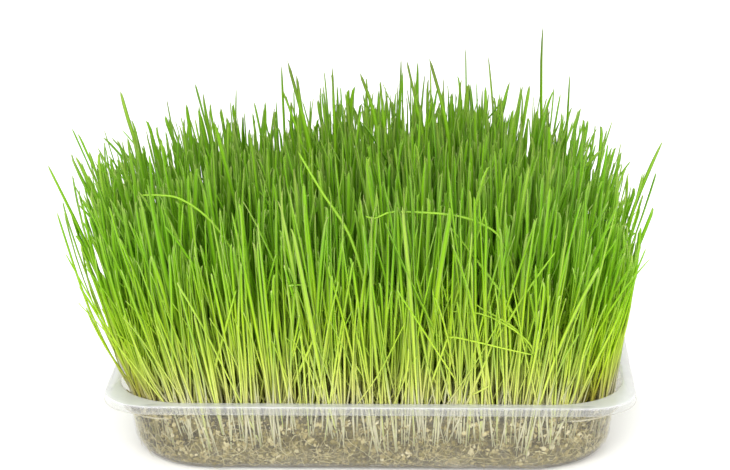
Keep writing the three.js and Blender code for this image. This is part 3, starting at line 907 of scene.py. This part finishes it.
# The blades between those of the solids: a jittered grid, drawn towards the middles of loose
# clumps. A blade leans by its place, away from its clump's middle, with its clump and by
# itself, and some cross the others. The late ones are shorter, and more of them are in front.
def addedBlades(draw):
    pitch = grass["pitch"]
    columns, rows = (np.arange(-half, half, pitch) for half in grass["area"])
    plan = np.stack(np.meshgrid(columns, rows), -1).reshape(-1, 2)
    plan = plan + draw.uniform(-0.5, 0.5, plan.shape) * pitch * grass["jitter"] * 2
    cell = np.round(plan / grass["clumpPitch"])
    wander = np.stack([np.sin(cell @ [12.99, 78.23]), np.sin(cell @ [39.35, 11.14])], 1)
    fromClump = plan - (cell + 0.35 * wander) * grass["clumpPitch"]
    plan = plan - fromClump * grass["clumpPull"]
    inside = withinWall(plan, grass["fromWall"])
    plan, fromClump = plan[inside], fromClump[inside]
    count = len(plan)
    together = np.stack([np.sin(cell @ [17.13, 5.71]), 0.5 * np.sin(cell @ [3.37, 29.9])], 1)[inside]
    lean = edgeLean(plan) + fromClump / mm * 0.5 + together * grass["clumpLean"]
    lean = lean + draw.normal(size=(count, 2)) * grass["leanSpread"]
    crossing = (draw.random(count) < grass["crossingShare"])[:, None]
    lean = lean + crossing * draw.normal(size=(count, 2)) * grass["crossingLean"] * [1.0, 0.4]
    length = grass["length"] + np.minimum(draw.normal(size=count), 1.9) * grass["lengthSpread"]
    length = length - endShortening(plan)
    front = np.clip((-plan[:, 1] - 30 * mm) / (50 * mm), 0, 1)
    length = length * (1 - grass["shorter"] * draw.beta(0.8, 3.2 - 1.9 * front))
    floppyShare, floppyBend = grass["floppy"]
    bend = draw.normal(size=count) * grass["bend"]
    bend = bend + np.where(draw.random(count) < floppyShare, floppyBend, 0.0)
    return bladeCurves(plan, groundAt(*plan.T) - 2 * mm, lean, bend, np.maximum(length, grass["shortest"]))


# Late seedlings: short, thin and leaning all ways, fewer with the way in from the long sides.
def youngBlades(draw):
    count = grass["young"]
    halves = tray["halves"] - wallAt(medium["top"], grass["fromWall"])[0]
    across = draw.uniform(-1, 1, count) * (halves[0] - 2 * mm)
    inwards = np.minimum(draw.exponential(grass["youngReach"], count), halves[1])
    front = np.where(draw.random(count) < grass["youngInFront"], 1, -1)
    plan = np.stack([across, (inwards - halves[1]) * front], 1)
    plan = plan[withinWall(plan, grass["fromWall"])]
    count = len(plan)
    lean = edgeLean(plan) + draw.normal(size=(count, 2)) * grass["youngLean"] * [1.0, 0.4]
    length = draw.uniform(*grass["youngLength"], count)
    return bladeCurves(plan, groundAt(*plan.T) - 2 * mm, lean, draw.normal(size=count) * 14, length)


# Seedlings that stand against the wall: their pale stems show through it. They come in
# bundles that fan out from one foot, rise along the wall and pass just inside the mouth, so
# no stem leans out more than the wall does.
def wallBlades(draw):
    number, per = grass["bundles"], grass["bundleStems"]
    count = number * per
    bundle = np.repeat(np.arange(number), per)
    foot = draw.uniform(*grass["bundleFoot"], number)[bundle] + draw.uniform(-1.5, 4.5, count) * mm
    reach = tray["wall"] + 0.6 * mm + draw.uniform(0, 0.7 * mm, count)
    spot = (np.arange(number) + draw.uniform(0.1, 0.9, number)) / number
    spot = spot[bundle] + draw.normal(size=count) * 0.0011
    plan, heading = alongWall(spot, foot, reach)
    tangent = np.column_stack([-heading[:, 1], heading[:, 0]])
    fan = draw.normal(size=count) * grass["bundleFan"] + draw.normal(size=number)[bundle] * 3
    lean = edgeLean(plan) * 0.9 + heading * 2.0 + fan[:, None] * tangent
    wallSlope = np.degrees(np.arctan(tray["taper"]))
    outwards = (lean * heading).sum(1)
    lean = lean + heading * (np.minimum(outwards, wallSlope) - outwards)[:, None]
    length = grass["length"] + 4 * mm + draw.normal(size=count) * grass["lengthSpread"]
    length = (length - endShortening(plan)) * (1 - 0.6 * draw.beta(0.8, 1.8, count))
    controls = bladeCurves(plan, foot, lean, draw.normal(size=count) * 8 + 4, length)
    controls[:, 0, :2] += tangent * draw.normal(size=(count, 1)) * grass["bundleCurl"]
    return controls


# Places on the curves at these shares of the way along, and the way they run there: cubics
# that start at the first control point, end at the last, and head for the two between them.
def followCurves(controls, share):
    t = share[None, :, None]
    a, b, c, d = (controls[:, k, None] for k in range(4))
    place = a * (1 - t) ** 3 + 3 * b * t * (1 - t) ** 2 + 3 * c * t**2 * (1 - t) + d * t**3
    way = 3 * (b - a) * (1 - t) ** 2 + 6 * (c - b) * t * (1 - t) + 3 * (d - c) * t**2
    return place, unit(way)


# A smooth curve through points: each stretch is a cubic whose slopes at its ends are half
# the step between the neighbours.
def throughPoints(points, count):
    points = np.asarray(points, float)
    padded = np.concatenate([2 * points[:1] - points[1:2], points, 2 * points[-1:] - points[-2:-1]])
    spot = np.linspace(0, len(points) - 1 - 1e-6, count)
    k = spot.astype(int)
    t = (spot - k)[:, None]
    a, b, c, d = padded[k], padded[k + 1], padded[k + 2], padded[k + 3]
    return 0.5 * (2 * b + (c - a) * t + (2 * a - 5 * b + 4 * c - d) * t**2 + (3 * b - a - 3 * c + d) * t**3)


# Rings of a leaf's body along its places: each has two edges, a keel inside and one
# outside. across is the way of its flat side; width, keel and thick are given per ring.
def leafRings(place, way, across, width, keel, thick):
    across = unit(across - way * (across * way).sum(-1, keepdims=True))
    back = np.cross(way, across)
    half = across * (width / 2)[..., None]
    outer = back * (keel + thick / 2)[..., None]
    inner = back * (keel - thick / 2)[..., None]
    return np.stack([place + half, place + inner, place - half, place + outer], -2)


# Blades along curves. The width grows from a round pale stem by a smooth step, holds, and
# runs out by a power of the way along: 13 for a pointed end, 45 for a blunt one. The flat part
# is folded to a V, turns as it rises and sways by a sine wave, and about half of the tips are
# turned aside. Nearly flat blades keep their broad side up and aren't turned.
def bladeMesh(controls, draw, fromSolids):
    count = len(controls)

    def each(low, high):
        return draw.uniform(low, high, (count, 1))

    rings = grass["rings"]
    share = np.r_[np.linspace(0, 0.88, rings - 2), 0.95, 0.982]
    place, way = followCurves(controls, share)
    level = controls[:, 3] - controls[:, 0]
    length = np.linalg.norm(level, axis=1)[:, None]
    heading = np.arctan2(level[:, 1], level[:, 0])
    reach = np.linalg.norm(level[:, :2], axis=1)
    upright = np.clip(1 - (reach / np.maximum(level[:, 2], 1 * mm) - 0.4) / 0.5, 0, 1)
    turn = heading + np.pi / 2 + draw.uniform(-np.pi, np.pi, count) * upright
    angle = turn[:, None] + (draw.normal(size=count) * 0.9 * upright)[:, None] * share
    across = np.stack([np.cos(angle), np.sin(angle), np.zeros_like(angle)], -1)
    sway = np.sin(share * np.pi * each(1, 2.4) + each(0, 6.3))
    sway = (sway - sway[:, :1]) * share * each(0.2, 1.6) * mm
    hooked = (draw.random((count, 1)) < grass["hookShare"]) * each(-1, 1) * grass["hook"]
    tip = controls[:, 3] + across[:, -1] * (sway[:, -1:] + hooked) - way[:, -1] * np.abs(hooked) * 0.7
    sway[:, -2:] += hooked * [0.06, 0.4]
    place = place + across * sway[..., None]
    low, high = grass["width"]
    full = (low + (high - low) * draw.beta(1.7, 2.2, (count, 1))) * np.clip(length / (130 * mm), 0.6, 1.1)
    full[:fromSolids] = np.maximum(full[:fromSolids], grass["broad"])
    full = full * (0.7 + 0.3 * upright[:, None])
    stem = each(*grass["stemWidth"])
    opening = np.clip((share - 0.16) / 0.32, 0, 1)
    opening = opening * opening * (3 - 2 * opening)
    rooted = np.clip(0.3 + share * 6, 0, 1)
    blunt, sharp = grass["pointed"]
    pointed = draw.random((count, 1)) < np.clip((length - blunt) / (sharp - blunt), 0, 1)
    runOut = (1 - share ** np.where(pointed, 13, 45)) ** 0.7
    width = (stem + (full - stem) * opening) * runOut * rooted
    thick = grass["thickness"] + stem * 0.6 * (1 - opening) * rooted
    ring = leafRings(place, way, across, width, grass["keel"] * width * opening, thick)
    points = np.concatenate([ring.reshape(count, -1, 3), tip[:, None]], 1)
    above = (points[:, :, 2] - medium["top"]) / grass["length"]
    crosswise = np.tile(np.r_[np.tile([1.0, -0.2, -1.0, 0.2], rings), 0.0], (count, 1))
    tone = np.repeat(each(0, 1), points.shape[1], 1)
    dry = np.r_[np.repeat(share, 4), 1.0] ** np.where(pointed, 16, 55) * draw.beta(1.4, 0.8, (count, 1))
    # how deep in the stand a blade grows, less towards its top, where light gets in; it sets how much painted
    # shade the blade's colour gets
    fromSide = (tray["halves"] - np.abs(controls[:, 0, :2])).min(1)
    inner = np.clip((fromSide - 11 * mm) / (14 * mm), 0, 1)[:, None] * np.clip((1.0 - above) / 0.45, 0, 1)
    values = {"above": above, "tone": tone, "crosswise": crosswise, "dry": dry, "inner": inner}
    return points, {key: numbers.ravel() for key, numbers in values.items()}


# One piece for each tuft of the solids: its own blades as they were traced, and those of the
# added ones that stand nearest to it. An added blade is left out if it passes the solids'
# box, or a slanting line at either side of the whole.
def makeGrass(finish):
    draw = np.random.default_rng(grass["seed"])
    names = sorted(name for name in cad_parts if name.startswith("tuft_"))
    traced = {name: traceBlades(name) for name in names}
    roots = np.array([traced[name][:, 0, :2].mean(0) for name in names])
    extra = np.concatenate([addedBlades(draw), youngBlades(draw), wallBlades(draw)])
    low, high = np.array(cadBox[0]) - grass["box"], np.array(cadBox[1]) + grass["box"]
    inside = ((extra > low) & (extra < high)).all((1, 2))
    # the front ones are kept in a little more
    rise = extra[:, 3, 2] - tray["height"]
    side = extra[:, 3, 0] / (1 + grass["frontKept"] * np.minimum(extra[:, 3, 1], 0))
    strayed = draw.exponential(1.0 * mm, len(extra))
    (left, leftOpening), (right, rightOpening) = grass["leftSide"], grass["rightSide"]
    inside &= (side > left + leftOpening * rise - strayed) & (side < right + rightOpening * rise + strayed)
    extra = extra[inside]
    nearest = np.linalg.norm(extra[:, None, 0, :2] - roots[None], axis=2).argmin(1)
    print("blades traced:", sum(len(t) for t in traced.values()), "added:", len(extra))
    for k, name in enumerate(names):
        controls = np.concatenate([traced[name], extra[nearest == k]])
        solid = controls[: len(traced[name])]
        solid[:, 0] -= (solid[:, 1] - solid[:, 0]) * grass["sunk"]
        # a blade of the solids that hangs out too far at the left is drawn in
        limit = left + leftOpening * (solid[:, 3, 2] - tray["height"])
        limit *= 1 + grass["frontKept"] * np.minimum(solid[:, 3, 1], 0)
        solid[:, 2:, 0] += np.maximum(limit - solid[:, 3, 0], 0)[:, None] * [0.6, 1.0]
        # the tallest blade is bowed, so its upper part leans to the right
        tallest = solid[:, 3, 2] > cadBox[1][2] - 1 * mm
        solid[:, 1:, 0] += tallest[:, None] * grass["tallestShift"]
        points, values = bladeMesh(controls, draw, len(traced[name]))
        faces = ringFaces(len(controls), grass["rings"], 4, pointed=True)
        makePiece(name.replace("tuft", "blades"), points, faces, finish, name, values)


# Weak blades that arch, snap or lie over the others near the front, as thin leaves
# through points in mm from the foot to the tip, after their width in mm.
strays = {
    "rings": 30,
    "tall": 181 * mm,  # from this height of its tip on, a stray counts as one of the tall ones
    "lines": [
        (1.2, [(85, -64, 39), (83, -72, 66), (79, -82, 94), (74, -92, 119), (69, -98, 132), (65, -100, 139),
              (53, -102, 146), (40, -103, 149), (25, -103, 150), (13, -103, 150), (6, -103, 147),
              (3, -103, 147), (0, -103, 148)]),
        (1.2, [(-57, -66, 38), (-58, -74, 71), (-62, -84, 108), (-72, -88, 131), (-82, -91, 145),
              (-94, -93, 154), (-104, -94, 156), (-114, -94, 156)]),
        (1.15, [(29, -80, 39), (36, -92, 63), (41, -95, 79), (43, -96, 81), (46, -96, 81), (55, -96, 79),
              (71, -96, 75), (87, -95, 71)]),
        (1.0, [(89, -80, 41), (88, -90, 59), (85, -94, 74), (80, -95, 81), (71, -96, 88), (58, -96, 94),
              (41, -95, 95)]),
        (1.0, [(92, -79, 41), (87, -89, 65), (78, -94, 83), (68, -95, 91), (58, -95, 97), (51, -95, 103)]),
        (1.3, [(45, -80, 41), (58, -88, 65), (71, -94, 87), (79, -97, 102), (88, -99, 117),
              (96, -100, 129)]),
        (1.1, [(-95, -79, 40), (-97, -88, 70), (-102, -92, 94), (-104, -92, 99), (-106, -92, 98)]),
        (0.9, [(49, -84, 43), (52, -86, 45), (57, -90, 49), (63, -91, 53)]),
        (1.7, [(37, -78, 40), (41, -88, 71), (44, -94, 95), (52, -98, 122), (61, -101, 152)]),
        (1.5, [(-85, -79, 40), (-78, -89, 65), (-71, -95, 90), (-66, -97, 107)]),
        (1.6, [(-43, -79, 40), (-33, -90, 65), (-24, -96, 87)]),
        (1.0, [(-53, -80, 44), (-61, -90, 71), (-68, -95, 91)]),
        (1.7, [(8, -78, 41), (6, -88, 74), (0, -94, 106), (-8, -97, 136), (-22, -96, 159),
              (-34, -92, 179)]),
        (1.4, [(84, -78, 41), (81, -89, 75), (71, -96, 101), (57, -98, 122), (41, -98, 143)]),
        # tall broad ones that stand out of the top
        (2.6, [(-29, 0, 31), (-30, 0, 71), (-32, 0, 111), (-33, 0, 148), (-37, 0, 171), (-45, 0, 204)]),
        (2.4, [(-31, -4, 31), (-32, -4, 73), (-33, -4, 115), (-34, -4, 155), (-37, -4, 173), (-40, -4, 197)]),
        (1.7, [(-33, -6, 31), (-34, -6, 70), (-34, -6, 110), (-35, -6, 147), (-43, -6, 176), (-48, -6, 190)]),
        (2.6, [(-28, -8, 31), (-29, -8, 71), (-31, -8, 111), (-32, -8, 148), (-36, -8, 172), (-39, -8, 183)]),
        (1.9, [(-19, 0, 31), (-19, 0, 71), (-20, 0, 111), (-20, 0, 148), (-20, 0, 165), (-21, 0, 201)]),
        (2.5, [(9, -3, 31), (7, -3, 73), (6, -4, 115), (4, -4, 155), (1, -4, 177), (-6, -4, 198)]),
        (2.5, [(47, 0, 31), (45, 0, 73), (44, 0, 115), (42, 0, 154), (38, 0, 179), (31, 0, 205)]),
        (1.9, [(31, -4, 31), (30, -4, 74), (29, -4, 117), (28, -4, 158), (24, -4, 181), (19, -4, 205)]),
        (1.7, [(7, -11, 31), (7, -11, 74), (8, -10, 117), (8, -10, 157), (6, -10, 182), (5, -10, 195)]),
    ],
}


# Each stray is a folded leaf along its smooth curve, with its broad side to the front, and
# narrows by the cube of the way along. The tall ones are greener and dry at the tip.
def makeStrays(finish):
    rings = strays["rings"]
    lines = np.stack([throughPoints(line, rings + 1) for width, line in strays["lines"]]) * mm
    place, tip = lines[:, :-1], lines[:, -1:]
    way = unit(np.gradient(lines, axis=1)[:, :-1])
    across = np.cross(way, np.array([0.15, -1.0, 0.25]))
    share = np.linspace(0, 1, rings + 1)[:-1]
    width = np.array([[width * mm] for width, line in strays["lines"]]) * (1 - 0.45 * share**3)
    ring = leafRings(place, way, across, width, 0.15 * width, np.full(width.shape, 0.35 * mm))
    points = np.concatenate([ring.reshape(len(lines), -1, 3), tip], 1).reshape(-1, 3)
    above = (points[:, 2] - medium["top"]) / grass["length"]
    tall = np.repeat(tip[:, 0, 2] > strays["tall"], rings * 4 + 1)
    values = {
        "above": np.clip(above, 0, np.where(tall, 1.3, 0.78)),
        "tone": np.where(tall, 0.45, 0.84),
        # crosswise held at 0.66 along the whole stray gives it a faint painted highlight tint, and no veins
        "crosswise": np.full(len(points), 0.66),
        "dry": np.clip(above - 1.0, 0, 0.2) * 4,
        "inner": np.zeros(len(points)),
    }
    faces = ringFaces(len(lines), rings, 4, pointed=True)
    makePiece("stray_blades", points, faces, finish, values=values)


# Living leaf: cream at the root, yellow-green above it and deeper green towards the tip,
# a shade of its own for each blade, a painted highlight along the edges and fine veins along it.
# Blades deep in the stand get painted shade: darker, brown at the foot and a more saturated green above, and
# duller, since less light gets there; dry ends are brown.
def grassFinish():
    finish = Finish("wheatgrass")
    above = finish.attribute("above")
    tone = finish.attribute("tone")
    crosswise = finish.attribute("crosswise")
    inner = finish.attribute("inner")
    base = finish.ramp(above + (tone - 0.5) * 0.16, [
        (0.0, 198, 192, 166), (0.05, 188, 184, 146), (0.11, 192, 193, 108), (0.25, 206, 221, 86),
        (0.4, 184, 216, 38), (0.62, 140, 193, 14), (1.0, 130, 184, 10)])
    green = above.fade(0.04, 0.3)
    varied = base.blend(finish.noise(55.0).fade(0.4, 0.7) * 0.25 * green, colour(114, 178, 26))
    varied = varied.blend(tone.fade(0.4, 0.0) * 0.5 * green, colour(92, 164, 12))
    varied = varied.blend(tone.fade(0.7, 1.0) * 0.4, colour(202, 220, 100))
    # painted highlight: paler towards the blade's edges, for light along its margins
    varied = varied.blend(abs(crosswise).fade(0.6, 1.0) * 0.5, colour(212, 224, 150))
    # painted shade for blades deep in the stand: darker and brown at the foot, a more saturated green above,
    # mixed in by inner
    deep = finish.ramp(above, [
        (0.0, 112, 94, 12), (0.08, 142, 134, 14), (0.24, 188, 222, 20), (0.5, 134, 194, 6), (1.0, 84, 148, 4)])
    varied = varied.blend(inner * 0.85, deep)
    ends = finish.ramp(above, [(0.6, 220, 224, 150), (0.98, 112, 108, 60)])
    varied = varied.blend(finish.attribute("dry"), ends)
    # what stands out of the top is more olive
    varied = varied.blend(above.fade(0.98, 1.16) * 0.65, colour(106, 122, 44))
    body = finish.principled(
        Base_Color=varied, Roughness=inner * 0.4 + 0.42, Specular_IOR_Level=0.34,
        Normal=finish.bump((crosswise * 24.0).sine(), 0.12, 0.0003))
    glow = finish.add("ShaderNodeBsdfTranslucent", None, {"Color": colour(160, 212, 50)})
    return finish.finish(finish.add("ShaderNodeMixShader", None, {0: 0.1 + 0.23 * green, 1: body, 2: glow}))


leaf = grassFinish()
makeGrass(leaf)
makeStrays(leaf)
print("seedlings made")
